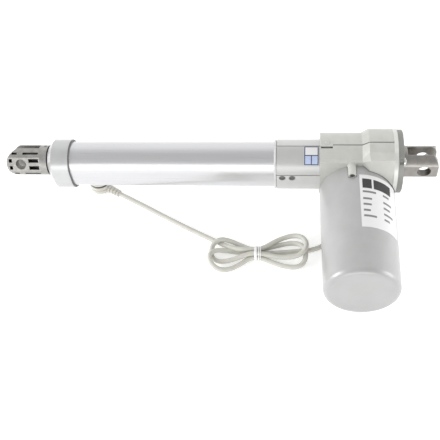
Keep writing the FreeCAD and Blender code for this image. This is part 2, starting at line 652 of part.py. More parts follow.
def make_nut():
    nut = rod_x(NUT_R, NUT_X0, NUT_X1).cut(rod_x(ROD_R, NUT_X0 - 1, -100.0))
    nut = nut.cut(rod_x(SPINDLE_R + 0.1, -101.0, NUT_X1 + 1))
    pins = [rod_z(1.5, z0, z1, -106.0, 0) for z0, z1 in ((8.6, 15.0), (-15.0, -8.6))]
    for pin in pins:
        nut = nut.cut(pin)
    rod = PARTS["push_rod"]
    for pin in pins:
        rod = rod.cut(pin)
    add("push_rod", rod)
    add("drive_nut", nut)
    clevis_pin = tilt(rod_z(1.5, -13.6, 13.6, CLEVIS_PIN_X, 0))
    add("rod_pins", clevis_pin, *pins)


# ---- electrical ----------------------------------------------------------------------
def make_switches():
    """Limit-switch strip in the lower channel of the tube, with one switch at each end."""
    add("switch_strip", box(-316.0, -95.0, -8.0, 8.0, -21.6, -20.0))
    add("limit_switches", *[box(x, x + 12.0, -3.5, 3.5, -20.0, -15.9).fuse(
        box(x + 4.5, x + 7.5, -1.0, 1.0, -15.9, -15.6)) for x in (-118.0, -304.0)])


def make_gland():
    """Rubber bend relief where the cord leaves the housing."""
    boot = Part.makeCone(3.7, 2.9, FACE_Y - 1.0 - GLAND_END_Y,
                         V(GLAND_X, FACE_Y - 1.0, GLAND_Z), V(0, -1, 0))
    collar = rod_y(3.9, FACE_Y - 1.0, FACE_Y, GLAND_X, GLAND_Z)
    stem = rod_y(2.0, FACE_Y, -9.0, GLAND_X, GLAND_Z)
    add("cord_gland", boot.fuse([collar, stem]))


def route_solid(name, points):
    """A cord's tube: straight runs joined by tangent arcs. Prints its radii and volume."""
    pts = [V(*p) for p in points]
    edges = []
    radii = []
    start = pts[0]
    length = 0.0
    for before, corner, after in zip(pts, pts[1:], pts[2:]):
        a = (before - corner)
        b = (after - corner)
        reach = 0.45 * min(a.Length, b.Length)
        a.normalize()
        b.normalize()
        turn = math.pi - a.getAngle(b)
        radius = reach / math.tan(turn / 2)
        first = corner + a * reach
        last = corner + b * reach
        inward = (a + b)
        inward.normalize()
        middle = corner + inward * (radius / math.cos(turn / 2) - radius)
        edges.append(line(start, first))
        edges.append(Part.Arc(first, middle, last).toShape())
        length += (first - start).Length + radius * turn
        radii.append(round(radius, 1))
        start = last
    edges.append(line(start, pts[-1]))
    length += (pts[-1] - start).Length
    path = Part.Wire(edges)
    direction = pts[1] - pts[0]
    section = Part.Wire(Part.makeCircle(CORD_D / 2, pts[0], direction))
    tube = path.makePipeShell([section], True, True)
    full = math.pi * (CORD_D / 2) ** 2 * length
    print(name, "radii", radii, "length", round(length, 1),
          "volume / section x length", round(tube.Volume / full, 4))
    return tube


def across(point, before, half):
    """Two points either side of a route's end, square to its last run, in plan."""
    dx, dy = point[0] - before[0], point[1] - before[1]
    size = math.hypot(dx, dy)
    nx, ny = -dy / size * half, dx / size * half
    return (point[0] + nx, point[1] + ny), (point[0] - nx, point[1] - ny)


def make_cord():
    add("cord_lead", route_solid("cord_lead", LEAD_ROUTE))
    add("cord_run", route_solid("cord_run", PLUG_ROUTE))
    # The hank in plan: two lobes and a waist, with a flat where each end of cord meets it.
    lead_hi, lead_lo = across(LEAD_ROUTE[-1], LEAD_ROUTE[-2], 3.4)
    run_hi, run_lo = across(PLUG_ROUTE[0], PLUG_ROUTE[1], 3.4)
    plan = [
        (-153.5, -65.6), (-166.0, -55.5), run_hi, run_lo, (-193.2, -70.0), (-194.0, -84.0),
        (-187.0, -90.0), (-175.0, -86.0), (-153.5, -78.4), (-147.0, -78.4), (-124.0, -87.5),
        (-113.5, -90.3), (-106.0, -84.0), lead_hi, lead_lo, (-108.0, -54.5), (-116.0, -52.3),
        (-130.0, -54.0), (-147.0, -65.6),
    ]
    corners = [V(x, y, TABLE_Z) for x, y in plan]
    wire = Part.makePolygon(corners + corners[:1])
    hank = Part.Face(wire).extrude(V(0, 0, 2.4 * CORD_D))
    # The tie goes round the waist in a shallow notch, under it, over it and past both sides.
    notch = box(-152.6, -147.9, -81.0, -63.0, TABLE_Z - 1, TABLE_Z + 13)
    core = box(-152.6, -147.9, -78.2, -65.8, TABLE_Z + 1.2, TABLE_Z + 9.8)
    add("cord_hank", hank.cut(notch.cut(core)))
    tie = box(-152.5, -148.0, -79.6, -64.4, TABLE_Z + 0.1, TABLE_Z + 10.9)
    tie = tie.cut(box(-153.0, -147.0, -78.3, -65.7, TABLE_Z + 1.1, TABLE_Z + 9.9))
    add("cord_tie", tie)


def make_plug():
    x, y = PLUG_CENTRE
    end = V(*PLUG_ROUTE[-1])
    out = V(x - end.x, y - end.y, 0)
    reach = out.Length - PLUG_R + 1.0
    out.normalize()
    # The relief widens towards the plug, so its axis climbs to keep its underside level.
    rise = V(0, 0, RELIEF_R1 - RELIEF_R0)
    relief = Part.makeCone(RELIEF_R0, RELIEF_R1, reach, end, out * reach + rise)
    body = rod_z(PLUG_R, TABLE_Z, TABLE_Z + 9.0, x, y)
    rim = [e for e in body.Edges if abs(e.CenterOfMass.z - TABLE_Z) < 0.01 and e.Length > 20]
    body = body.makeFillet(1.5, rim)
    add("plug_relief", relief.cut(body))
    core = rod_z(PLUG_R - 3.0, TABLE_Z + 9.0, TABLE_Z + 11.0, x, y)
    head = rod_z(PLUG_R - 0.4, TABLE_Z + 11.0, TABLE_Z + 15.0, x, y)
    add("plug_body", body.fuse([core, head]))
    add("plug_collar", rod_z(PLUG_R - 1.0, TABLE_Z + 9.0, TABLE_Z + 11.0, x, y).cut(core))
    add("plug_barrel", rod_z(7.4, TABLE_Z + 15.0, TABLE_Z + 18.0, x, y))
    pins = []
    for k in range(5):
        angle = math.radians(45 * k)
        pins.append(rod_z(0.75, TABLE_Z + 18.0, TABLE_Z + 22.5,
                          x + 4.0 * math.cos(angle), y + 4.0 * math.sin(angle)))
    add("plug_pins", *pins)


# ---- labels --------------------------------------------------------------------------
def make_labels():
    """Blank printed labels: one round the motor cover, one on the neck panel."""
    def at(r, y):
        return V(MOTOR_X, y, MOTOR_Z + r)

    slope = (MOTOR_R1 - MOTOR_R0) / (MOTOR_END_Y + MOTOR_END_FILLET - FACE_Y)

    def skin(y, lift):
        return MOTOR_R0 + slope * (y - FACE_Y) + lift

    near, far = -31.0, -88.0
    outline = Part.makePolygon([
        at(skin(near, 0.0), near), at(skin(near, 0.2), near), at(skin(far, 0.2), far),
        at(skin(far, 0.0), far), at(skin(near, 0.0), near)])
    label = Part.Face(outline).revolve(V(MOTOR_X, 0, MOTOR_Z), V(0, 1, 0), 69)
    label.rotate(V(MOTOR_X, 0, MOTOR_Z), V(0, 1, 0), -1)
    add("product_label", label)
    sticker = ring_x(NECK_R - 0.1, NECK_R - 0.25, -107.4, -94.2)
    wedge = box(-108, -94, -40, -0.7, 0.7, 40)
    tilted = box(-108, -94, -60, 0, -60, 0)
    tilted.rotate(V(0, 0, 0), V(1, 0, 0), -34.5)
    add("inspection_label", sticker.common(wedge).cut(tilted))


def build():
    make_tube()
    make_cap()
    make_neck()
    make_housing()
    make_end()
    make_rear_clevis()
    make_cover()
    make_motor()
    make_rotor()
    make_worm()
    make_wheel()
    make_spindle()
    make_bearings()
    make_front_clevis()
    make_nut()
    make_switches()
    make_gland()
    make_cord()
    make_plug()
    make_labels()


build()
os.makedirs("parts", exist_ok=True)
for node, solid in PARTS.items():
    solid.exportStep("parts/" + node + ".step")
print(len(PARTS), "nodes")
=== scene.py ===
"""Linear actuator: the looks of its CAD frame, its real cord, its labels' print and the studio round it.

Everything is in metres in the CAD's frame: X along the spindle, Z up, the motor along -Y, and the
origin at the centre of the rear clevis's hole. The actuator lies on a table, on the motor cover's rim.
"""

import math

import bmesh
import bpy
from mathutils import Matrix, Vector


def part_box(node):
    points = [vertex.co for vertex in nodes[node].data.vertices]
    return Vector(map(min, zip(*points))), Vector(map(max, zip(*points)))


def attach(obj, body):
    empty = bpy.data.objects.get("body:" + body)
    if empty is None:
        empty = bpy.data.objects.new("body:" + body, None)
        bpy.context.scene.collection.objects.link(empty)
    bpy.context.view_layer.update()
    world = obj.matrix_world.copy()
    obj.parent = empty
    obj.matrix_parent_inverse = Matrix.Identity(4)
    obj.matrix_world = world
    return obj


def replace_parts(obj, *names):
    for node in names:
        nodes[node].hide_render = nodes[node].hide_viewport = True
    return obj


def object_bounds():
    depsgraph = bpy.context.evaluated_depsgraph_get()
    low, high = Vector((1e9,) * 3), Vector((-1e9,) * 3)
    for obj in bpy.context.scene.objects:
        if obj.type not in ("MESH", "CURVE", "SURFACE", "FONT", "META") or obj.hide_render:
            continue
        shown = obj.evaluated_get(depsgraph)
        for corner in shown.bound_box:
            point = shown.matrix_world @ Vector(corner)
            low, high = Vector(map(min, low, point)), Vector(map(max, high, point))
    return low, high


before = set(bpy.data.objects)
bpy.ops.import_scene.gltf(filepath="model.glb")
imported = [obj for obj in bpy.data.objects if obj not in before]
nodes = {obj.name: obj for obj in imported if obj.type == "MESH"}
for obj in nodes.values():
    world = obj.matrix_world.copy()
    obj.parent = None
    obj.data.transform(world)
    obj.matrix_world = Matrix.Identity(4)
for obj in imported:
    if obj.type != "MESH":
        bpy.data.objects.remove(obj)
cad_low, cad_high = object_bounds()

MM = 0.001
TABLE_Z = cad_low.z


# ---- camera ------------------------------------------------------------------------------------
LENS = 58.0
AZIMUTH = math.radians(10.0)
ELEVATION = math.radians(51.1)
ROLL = math.radians(-7.1)
DISTANCE = 0.688
LOOK_AT = Vector((-0.1873, -0.030, -0.052))


def make_camera():
    """A camera above the motor's side, rolled so that the spindle looks level."""
    back = Vector((
        math.sin(AZIMUTH) * math.cos(ELEVATION),
        -math.cos(AZIMUTH) * math.cos(ELEVATION),
        math.sin(ELEVATION),
    ))
    right = (-back).cross(Vector((0, 0, 1))).normalized()
    up = right.cross(-back)
    rolled_right = math.cos(ROLL) * right + math.sin(ROLL) * up
    rolled_up = math.cos(ROLL) * up - math.sin(ROLL) * right
    camera = bpy.data.objects.new("camera", bpy.data.cameras.new("camera"))
    bpy.context.scene.collection.objects.link(camera)
    turn = Matrix((rolled_right, rolled_up, back)).transposed().to_4x4()
    camera.matrix_world = Matrix.Translation(LOOK_AT + DISTANCE * back) @ turn
    camera.data.lens = LENS
    camera.data.sensor_width = 36.0
    camera.data.clip_start = 0.01
    camera.data.clip_end = 20.0
    bpy.context.scene.camera = camera


# ---- materials ---------------------------------------------------------------------------------
def grey(level):
    return (level, level, level)


class Finish:
    """One Principled material, built up from procedural layers in the piece's own coordinates."""

    def __init__(self, name, **plain):
        """Plain values, such as Metallic, go straight on the shader's sockets."""
        self.material = bpy.data.materials.new(name)
        self.material.use_nodes = True
        self.tree = self.material.node_tree
        self.shader = self.tree.nodes["Principled BSDF"]
        self.place = self.tree.nodes.new("ShaderNodeTexCoord").outputs["Object"]
        for socket, value in plain.items():
            self.shader.inputs[socket.replace("_", " ")].default_value = value

    def node(self, kind, **links):
        """A node with each named input linked to an output or set to a value."""
        made = self.tree.nodes.new(kind)
        for socket, value in links.items():
            self.join(made.inputs[socket.replace("_", " ")], value)
        return made

    def join(self, socket, value):
        if isinstance(value, bpy.types.NodeSocket):
            self.tree.links.new(value, socket)
        else:
            socket.default_value = value

    def noise(self, size, detail=3.0, stretch=(1, 1, 1), roughness=0.55):
        """A soft pattern from 0 to 1 with features of that size in metres, drawn out by stretch."""
        mapping = self.node("ShaderNodeMapping", Vector=self.place)
        mapping.inputs["Scale"].default_value = [1 / s for s in stretch]
        made = self.node(
            "ShaderNodeTexNoise", Vector=mapping.outputs["Vector"],
            Scale=1 / size, Detail=detail, Roughness=roughness,
        )
        return made.outputs["Fac"]

    def remap(self, value, low, high, start=0.3, end=0.7):
        """Start to end of a pattern becomes low to high."""
        made = self.node("ShaderNodeMapRange", Value=value)
        made.inputs["From Min"].default_value = start
        made.inputs["From Max"].default_value = end
        made.inputs["To Min"].default_value = low
        made.inputs["To Max"].default_value = high
        return made.outputs["Result"]

    def blend(self, amount, first, second):
        """First colour where amount is 0, second where it is 1."""
        made = self.tree.nodes.new("ShaderNodeMix")
        made.data_type = "RGBA"
        self.join(made.inputs["Factor"], amount)
        for socket, colour in ((made.inputs[6], first), (made.inputs[7], second)):
            self.join(socket, colour if isinstance(colour, bpy.types.NodeSocket) else (*colour, 1))
        return made.outputs[2]

    def edges(self, radius, sharpness=6.0):
        """About 1 on edges sharper than radius and 0 on faces, for wear and polish."""
        bevel = self.tree.nodes.new("ShaderNodeBevel")
        bevel.samples = 4
        bevel.inputs["Radius"].default_value = radius
        flat = self.tree.nodes.new("ShaderNodeNewGeometry").outputs["Normal"]
        dot = self.tree.nodes.new("ShaderNodeVectorMath")
        dot.operation = "DOT_PRODUCT"
        self.tree.links.new(bevel.outputs["Normal"], dot.inputs[0])
        self.tree.links.new(flat, dot.inputs[1])
        return self.remap(dot.outputs["Value"], 1.0, 0.0, 1.0 - 1.0 / sharpness, 1.0)

    def occlusion_shade(self, tone, reach, most=0.72, openness=0.5):
        """A tone darkened with painted shade in grooves and pockets narrower than reach, by ambient
        occlusion.
        """
        shade = self.node("ShaderNodeAmbientOcclusion", Distance=reach)
        shade.samples = 8
        # Painted shade: the occluded share of the surface turns towards near black.
        painted_shade = self.remap(shade.outputs["AO"], most, 0.0, 0.15, openness)
        return self.blend(painted_shade, tone, (0.03, 0.029, 0.027))

    def colour(self, socket):
        self.join(self.shader.inputs["Base Color"], socket)

    def roughness(self, socket):
        self.join(self.shader.inputs["Roughness"], socket)

    def relief(self, height, depth, soft_edge=0.0):
        """Bumps of that depth in metres, over a softened edge where soft_edge is a radius."""
        bump = self.node("ShaderNodeBump", Height=height, Distance=depth)
        if soft_edge:
            bevel = self.tree.nodes.new("ShaderNodeBevel")
            bevel.samples = 4
            bevel.inputs["Radius"].default_value = soft_edge
            self.tree.links.new(bevel.outputs["Normal"], bump.inputs["Normal"])
        self.tree.links.new(bump.outputs["Normal"], self.shader.inputs["Normal"])


def mottled(name, dark, light, gloss, grain, depth, stretch=(1, 1, 1), edge=0.0, **plain):
    """The common finish: colour from dark to light and roughness over gloss, both in patches and
    in a fine grain, with bumps of that grain and depth, and edges softened by a radius."""
    finish = Finish(name, **plain)
    fine = finish.noise(grain, 4.0, stretch)
    broad = finish.noise(24 * grain, 2.0, stretch)
    tone = finish.blend(0.35, finish.blend(finish.remap(broad, 0, 1), dark, light),
                        finish.blend(finish.remap(fine, 0, 1), dark, light))
    finish.colour(tone)
    finish.roughness(finish.remap(broad, gloss[0], gloss[1]))
    finish.relief(fine, depth, edge)
    return finish.material


def anodised_tube():
    """Satin extrusion: very fine lines along the tube, a little uneven from end to end."""
    finish = Finish("anodised_aluminium", Metallic=0.92, Coat_Weight=0.12, Coat_Roughness=0.35)
    lines = finish.noise(0.35 * MM, 3.0, (260, 1, 1))
    cloud = finish.noise(22 * MM, 2.0, (4, 1, 1))
    tone = finish.blend(finish.remap(lines, 0, 1), (0.62, 0.62, 0.635), (0.68, 0.68, 0.692))
    finish.colour(finish.blend(finish.remap(cloud, 0.0, 0.3), tone, (0.72, 0.72, 0.73)))
    finish.roughness(finish.remap(lines, 0.27, 0.34))
    finish.relief(lines, 0.004 * MM)
    return finish.material


def silver_paint(name, level, tint=(1.0, 1.0, 0.985), gloss=(0.34, 0.42), metallic=0.35,
                 coat=0.1):
    """Painted or moulded silver grey with the faint sparkle of its flakes, and painted shade in its
    grooves.
    """
    finish = Finish(name, Metallic=metallic, Coat_Weight=coat, Coat_Roughness=0.3)
    flakes = finish.noise(0.12 * MM, 1.0)
    cloud = finish.noise(14 * MM, 2.0)
    low, high = ([c * level * k for c in tint] for k in (0.965, 1.035))
    tone = finish.blend(finish.remap(cloud, 0, 1), low, high)
    bright = [min(1.0, c * level * 1.12) for c in tint]
    tone = finish.blend(finish.remap(flakes, 0, 0.35, 0.5, 0.8), tone, bright)
    # Painted shade: ambient occlusion darkens the paint in grooves and seams.
    finish.colour(finish.occlusion_shade(tone, 2.5 * MM))
    finish.roughness(finish.remap(cloud, gloss[0], gloss[1]))
    finish.relief(flakes, 0.004 * MM)
    return finish.material


def blasted_casting():
    """Die-cast aluminium, blasted: warm light grey, a fine grain, edges rubbed brighter, and painted
    shade in its hollows.
    """
    finish = Finish("blasted_casting", Metallic=0.38)
    grain = finish.noise(0.32 * MM, 4.0)
    cloud = finish.noise(9 * MM, 3.0)
    tone = finish.blend(finish.remap(cloud, 0, 1), (0.515, 0.515, 0.485), (0.575, 0.575, 0.545))
    tone = finish.blend(finish.remap(grain, 0, 0.3), tone, (0.64, 0.64, 0.61))
    tone = finish.blend(finish.edges(0.5 * MM), tone, (0.70, 0.70, 0.675))
    # Painted shade: ambient occlusion darkens the casting in its hollows.
    finish.colour(finish.occlusion_shade(tone, 3 * MM))
    finish.roughness(finish.remap(grain, 0.42, 0.56))
    finish.relief(grain, 0.018 * MM, 0.4 * MM)
    return finish.material


def pewter_casting():
    """Front clevis: dark cast metal, tumbled and bright on edges, with painted shade darkening its
    pockets.
    """
    finish = Finish("pewter_casting", Metallic=0.85)
    grain = finish.noise(0.5 * MM, 5.0)
    cloud = finish.noise(5 * MM, 3.0)
    tone = finish.blend(finish.remap(cloud, 0, 1), (0.26, 0.255, 0.24), (0.40, 0.395, 0.375))
    tone = finish.blend(finish.remap(grain, 0, 0.4), tone, (0.46, 0.45, 0.43))
    tone = finish.blend(finish.edges(0.55 * MM, 4.0), tone, (0.62, 0.615, 0.59))
    # Painted shade: strong ambient occlusion darkens the pockets almost to black.
    finish.colour(finish.occlusion_shade(tone, 6 * MM, 0.9, 0.75))
    finish.roughness(finish.remap(grain, 0.33, 0.50))
    finish.relief(grain, 0.03 * MM, 0.4 * MM)
    return finish.material


def machined_steel():
    """Rear clevis: bar steel with turning marks round X and a faint brown oil tarnish."""
    finish = Finish("machined_steel", Metallic=0.95)
    marks = finish.noise(0.22 * MM, 2.0, (1, 40, 40))
    stain = finish.noise(6 * MM, 4.0)
    tone = finish.blend(finish.remap(stain, 0, 1), (0.27, 0.265, 0.25), (0.36, 0.335, 0.31))
    tone = finish.blend(finish.remap(marks, 0, 0.3), tone, (0.44, 0.435, 0.42))
    finish.colour(finish.blend(finish.edges(0.45 * MM, 4.0), tone, (0.66, 0.65, 0.63)))
    finish.roughness(finish.remap(marks, 0.27, 0.42))
    finish.relief(marks, 0.01 * MM, 0.4 * MM)
    return finish.material


def cord_vinyl():
    """Soft ivory vinyl, slightly uneven from handling."""
    finish = Finish("cord_vinyl", Subsurface_Weight=0.06, Subsurface_Scale=1.5 * MM)
    handled = finish.noise(7 * MM, 4.0)
    skin = finish.noise(0.4 * MM, 2.0)
    finish.colour(finish.blend(finish.remap(handled, 0, 1), (0.55, 0.545, 0.49),
                               (0.61, 0.605, 0.555)))
    finish.roughness(finish.remap(skin, 0.42, 0.55))
    finish.relief(skin, 0.012 * MM, 0.25 * MM)
    return finish.material


def label_film(name, level):
    """Printed white film with a soft gloss and slightly uneven ink."""
    return mottled(name, [level * 0.96] * 3, [level] * 3, (0.30, 0.38), 0.5 * MM, 0.002 * MM)


def print_ink(name, colour):
    darker = [c * 0.8 for c in colour]
    return mottled(name, darker, colour, (0.35, 0.45), 0.3 * MM, 0.001 * MM)


def make_materials():
    """Every finish, by the nodes that wear it."""
    steel = dict(Metallic=1.0)
    bright_steel = mottled("bright_steel", grey(0.58), grey(0.70), (0.16, 0.26), 0.3 * MM,
                           0.003 * MM, (1, 6, 6), 0.15 * MM, **steel)
    plated = mottled("zinc_plated", (0.60, 0.60, 0.58), (0.78, 0.78, 0.76), (0.2, 0.3), 0.2 * MM,
                     0.006 * MM, edge=0.2 * MM, **steel)
    dark_steel = mottled("lamination_steel", grey(0.16), grey(0.24), (0.35, 0.5), 0.5 * MM,
                         0.01 * MM, (8, 0.6, 8), **steel)
    can_steel = mottled("can_steel", grey(0.45), grey(0.56), (0.3, 0.42), 1.0 * MM, 0.01 * MM,
                        (1, 5, 1), **steel)
    bronze = mottled("bearing_bronze", (0.46, 0.30, 0.12), (0.62, 0.42, 0.19), (0.3, 0.4),
                     0.3 * MM, 0.006 * MM, **steel)
    copper = mottled("enamelled_copper", (0.45, 0.17, 0.07), (0.66, 0.28, 0.12), (0.25, 0.4),
                     0.6 * MM, 0.12 * MM, (5, 0.7, 5), **steel)
    rubber = mottled("black_rubber", grey(0.018), grey(0.035), (0.5, 0.65), 0.4 * MM, 0.01 * MM)
    black_plastic = mottled("black_plastic", grey(0.02), grey(0.04), (0.35, 0.5), 0.4 * MM,
                            0.012 * MM, edge=0.2 * MM)
    white_seal = mottled("white_seal", grey(0.62), grey(0.74), (0.4, 0.55), 0.5 * MM, 0.01 * MM)
    grey_seal = mottled("grey_seal", grey(0.10), grey(0.17), (0.45, 0.6), 0.5 * MM, 0.01 * MM)
    acetal = mottled("acetal", (0.72, 0.71, 0.66), (0.80, 0.79, 0.74), (0.32, 0.42), 0.5 * MM,
                     0.008 * MM, edge=0.2 * MM)
    ferrite = mottled("ferrite", grey(0.05), grey(0.09), (0.45, 0.6), 0.4 * MM, 0.02 * MM)
    graphite = mottled("graphite", grey(0.06), grey(0.12), (0.35, 0.5), 0.3 * MM, 0.01 * MM)
    board = mottled("circuit_board", (0.02, 0.12, 0.05), (0.03, 0.17, 0.07), (0.25, 0.35),
                    0.8 * MM, 0.006 * MM)
    nickel = mottled("nickel", (0.60, 0.58, 0.53), (0.74, 0.72, 0.67), (0.14, 0.24), 0.3 * MM,
                     0.003 * MM, edge=0.15 * MM, **steel)
    end_casting = mottled("end_casting", (0.235, 0.235, 0.22), (0.31, 0.31, 0.295), (0.4, 0.55),
                          0.5 * MM, 0.03 * MM, edge=0.5 * MM, Metallic=0.45)
    ring_metal = mottled("ring_metal", (0.66, 0.66, 0.635), (0.74, 0.74, 0.715), (0.36, 0.46),
                         0.3 * MM, 0.006 * MM, edge=0.3 * MM, Metallic=0.3)
    paint_light = silver_paint("neck_paint", 0.60)
    paint_panel = silver_paint("panel_paint", 0.50)
    cover_paint = silver_paint("cover_paint", 0.40, (1.0, 1.0, 0.995), (0.30, 0.38), 0.2, 0.6)
    casting = blasted_casting()
    vinyl = cord_vinyl()
    worn_by = {
        anodised_tube(): ["outer_tube"],
        silver_paint("cap_paint", 0.55, (0.99, 0.995, 1.0), (0.28, 0.36), 0.6): ["front_cap"],
        paint_light: ["neck_shell"],
        paint_panel: ["neck_panel"],
        cover_paint: ["motor_cover"],
        casting: ["gear_housing_front", "gear_housing_rear"],
        end_casting: ["end_plate"],
        pewter_casting(): ["front_clevis"],
        machined_steel(): ["rear_clevis"],
        plated: ["end_plate_screws", "housing_screws", "motor_screws",
                 "spindle_locknut", "end_stop_screw", "wheel_key", "motor_flange"],
        bright_steel: ["push_rod", "rod_pins", "spindle", "motor_shaft", "worm", "bearing_balls",
                       "front_bearing_outer_race", "front_bearing_inner_race",
                       "rear_bearing_outer_race", "rear_bearing_inner_race",
                       "motor_bearing_outer", "motor_bearing_inner", "spacer_sleeves"],
        # The neck screws wear this dark steel as painted shade: it stands for the shade in their
        # countersunk recesses.
        dark_steel: ["armature_core", "neck_screws"],
        can_steel: ["motor_can"],
        bronze: ["worm_wheel", "guide_bush", "worm_end_bush"],
        copper: ["armature_windings", "commutator"],
        rubber: ["wiper_seal", "cord_gland"],
        grey_seal: ["cap_gasket"],
        ring_metal: ["bearing_retainer"],
        white_seal: ["neck_gasket"],
        acetal: ["drive_nut"],
        black_plastic: ["motor_end_bell", "limit_switches", "plug_collar"],
        ferrite: ["motor_magnets"],
        graphite: ["brushes"],
        board: ["switch_strip"],
        nickel: ["plug_barrel", "plug_pins"],
        label_film("label_film", 0.76): ["product_label", "inspection_label"],
        vinyl: ["cord_lead", "cord_run", "cord_hank", "plug_relief", "plug_body"],
        label_film("tie_film", 0.9): ["cord_tie"],
    }
    for material, wearers in worn_by.items():
        for node in wearers:
            nodes[node].data.materials.clear()
            nodes[node].data.materials.append(material)
    return {
        "vinyl": vinyl,
        "tie": nodes["cord_tie"].data.materials[0],
        "black": print_ink("black_ink", grey(0.035)),
        "grey": print_ink("grey_ink", grey(0.22)),
        "navy": print_ink("navy_ink", (0.03, 0.05, 0.13)),
        "pale_blue": print_ink("pale_blue_ink", (0.52, 0.60, 0.82)),
    }


# ---- mesh helpers ------------------------------------------------------------------------------
def new_piece(name, mesh_or_curve, material):
    """Links a piece, gives it its material and lets it ride on the actuator's body."""
    piece = bpy.data.objects.new(name, mesh_or_curve)
    bpy.context.scene.collection.objects.link(piece)
    mesh_or_curve.materials.append(material)
    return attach(piece, "actuator_body")


def sharpen(mesh, angle):
    """Keeps the edges that turn by more than that many degrees crisp."""
    mesh.set_sharp_from_angle(angle=math.radians(angle))


def mesh_from_rows(name, rows, closed_round, capped):
    """A smooth mesh through rows of points; closed_round joins each row's ends, capped shuts it."""
    bm = bmesh.new()
    made = [[bm.verts.new(point) for point in row] for row in rows]
    around = len(rows[0])
    last = around if closed_round else around - 1
    for row, following in zip(made, made[1:]):
        for k in range(last):
            after = (k + 1) % around
            bm.faces.new((row[k], row[after], following[after], following[k]))
    if capped:
        bm.faces.new(list(reversed(made[0])))
        bm.faces.new(made[-1])
    bmesh.ops.recalc_face_normals(bm, faces=bm.faces)
    mesh = bpy.data.meshes.new(name)
    bm.to_mesh(mesh)
    bm.free()
    mesh.shade_smooth()
    return mesh


# ---- the cord ----------------------------------------------------------------------------------
CORD_D = 4.6 * MM
CORD_Z = TABLE_Z + CORD_D / 2
# From the gland to the hank, and from the hank to the plug's bend relief.
LEAD_ROUTE = [
    (-0.0835, -0.0335, -0.0475),
    (-0.0835, -0.0420, -0.0475),
    (-0.0830, -0.0515, -0.0494),
    (-0.0875, -0.0605, CORD_Z),
    (-0.0975, -0.0656, CORD_Z),
    (-0.1045, -0.0669, CORD_Z),
]
PLUG_ROUTE = [
    (-0.1880, -0.0582, CORD_Z),
    (-0.2125, -0.0454, CORD_Z),
    (-0.2415, -0.0289, CORD_Z),
    (-0.2675, -0.0132, CORD_Z),
    (-0.2910, -0.0006, CORD_Z + 1.1 * MM),
]
# The hank lies in four bows, two on each side of the tie. Five strands pass the tie, three below
# and two on those: each slot is a strand's place across the tie and its layer, in cord diameters.
TIE_X = -0.1503
TIE_Y = -0.0720
TIE_LIFT = 0.9 * MM
TIE_STRAIGHT = 5.2 * MM
SLOTS = {
    "far": (1.0, 0.0),
    "middle": (0.0, 0.0),
    "near": (-1.0, 0.0),
    "upper_far": (0.5, 0.87),
    "upper_near": (-0.5, 0.87),
}
FIRST_SLOT = "middle"
LAST_SLOT = "upper_far"
# Each bow: heading from the tie in degrees, reach, half width, how much fuller its returning leg
# is, the slots it starts and ends in, and its layer at equal steps round it.
BOWS = [
    (194.0, 38.5 * MM, 10.6 * MM, 0.15, FIRST_SLOT, "near",
     (0.0, 0.3, 0.8, 1.1, 1.1, 0.75, 0.25, 0.0, 0.0)),
    (-4.5, 41.0 * MM, 12.6 * MM, 0.15, "near", "far",
     (0.0, 0.0, 0.0, 0.15, 0.55, 1.0, 0.75, 0.2, 0.0)),
    (176.0, 37.0 * MM, 11.6 * MM, 0.0, "far", "upper_near",
     (0.1, 0.5, 1.0, 0.8, 0.3, 0.0, 0.1, 0.35, 0.65)),
    (11.5, 42.0 * MM, 12.2 * MM, 0.15, "upper_near", LAST_SLOT,
     (0.65, 0.8, 1.2, 1.7, 1.85, 1.5, 0.95, 0.6, 0.75)),
]
# Between the lead and the tie, and between the tie and the plug's run.
OUTWARD_STRAND = [(-0.1240, -0.0692, CORD_Z)]
INWARD_STRAND = [
    (-0.1645, -0.0706, CORD_Z + 1.1 * CORD_D),
    (-0.1765, -0.0652, CORD_Z + 0.35 * CORD_D),
]


def at_tie(slot, side):
    """A strand's point beside the tie: side is -1 on its left and 1 on its right."""
    across, layer = SLOTS[slot]
    return (TIE_X + side * TIE_STRAIGHT, TIE_Y + across * CORD_D,
            CORD_Z + TIE_LIFT + layer * CORD_D)


def bow_points(heading, reach, half_width, fuller, start, end, layers):
    """One bow of the hank, out from the tie and back to it, anticlockwise seen from above."""
    side = 1 if math.cos(math.radians(heading)) > 0 else -1
    along = Vector((math.cos(math.radians(heading)), math.sin(math.radians(heading)), 0))
    across = Vector((-along.y, along.x, 0))
    first, last = Vector(at_tie(start, side)), Vector(at_tie(end, side))
    points = [first]
    for step, layer in enumerate(layers, 1):
        turn = step / (len(layers) + 1)
        out = math.sin(math.pi * turn)
        width = half_width * (1 - fuller * math.cos(math.pi * turn))
        centre = Vector((first.x, TIE_Y, 0)).lerp(first.lerp(last, turn), 1 - out)
        point = centre + along * reach * out - across * width * math.sin(2 * math.pi * turn)
        point.z = CORD_Z + layer * CORD_D
        points.append(point)
    return points + [last]


def hank_points():
    """The strand comes to the tie's right side, goes round every bow and leaves on the left."""
    points = [Vector(at_tie(FIRST_SLOT, 1))]
    for bow in BOWS:
        points += bow_points(*bow)
    return points + [Vector(at_tie(LAST_SLOT, -1))]


def make_cord(vinyl):
    """The whole cord as one smooth line: from the gland, through the hank, to the plug."""
    route = LEAD_ROUTE + OUTWARD_STRAND + hank_points() + INWARD_STRAND + PLUG_ROUTE
    curve = bpy.data.curves.new("cord", "CURVE")
    curve.dimensions = "3D"
    spline = curve.splines.new("NURBS")
    spline.points.add(len(route) - 1)
    for point, place in zip(spline.points, route):
        point.co = (*place, 1.0)
    spline.order_u = 3
    spline.use_endpoint_u = True
    curve.resolution_u = 8
    curve.bevel_depth = CORD_D / 2
    curve.bevel_resolution = 7
    curve.use_fill_caps = True
    cord = new_piece("cord", curve, vinyl)
    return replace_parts(cord, "cord_lead", "cord_hank", "cord_run")


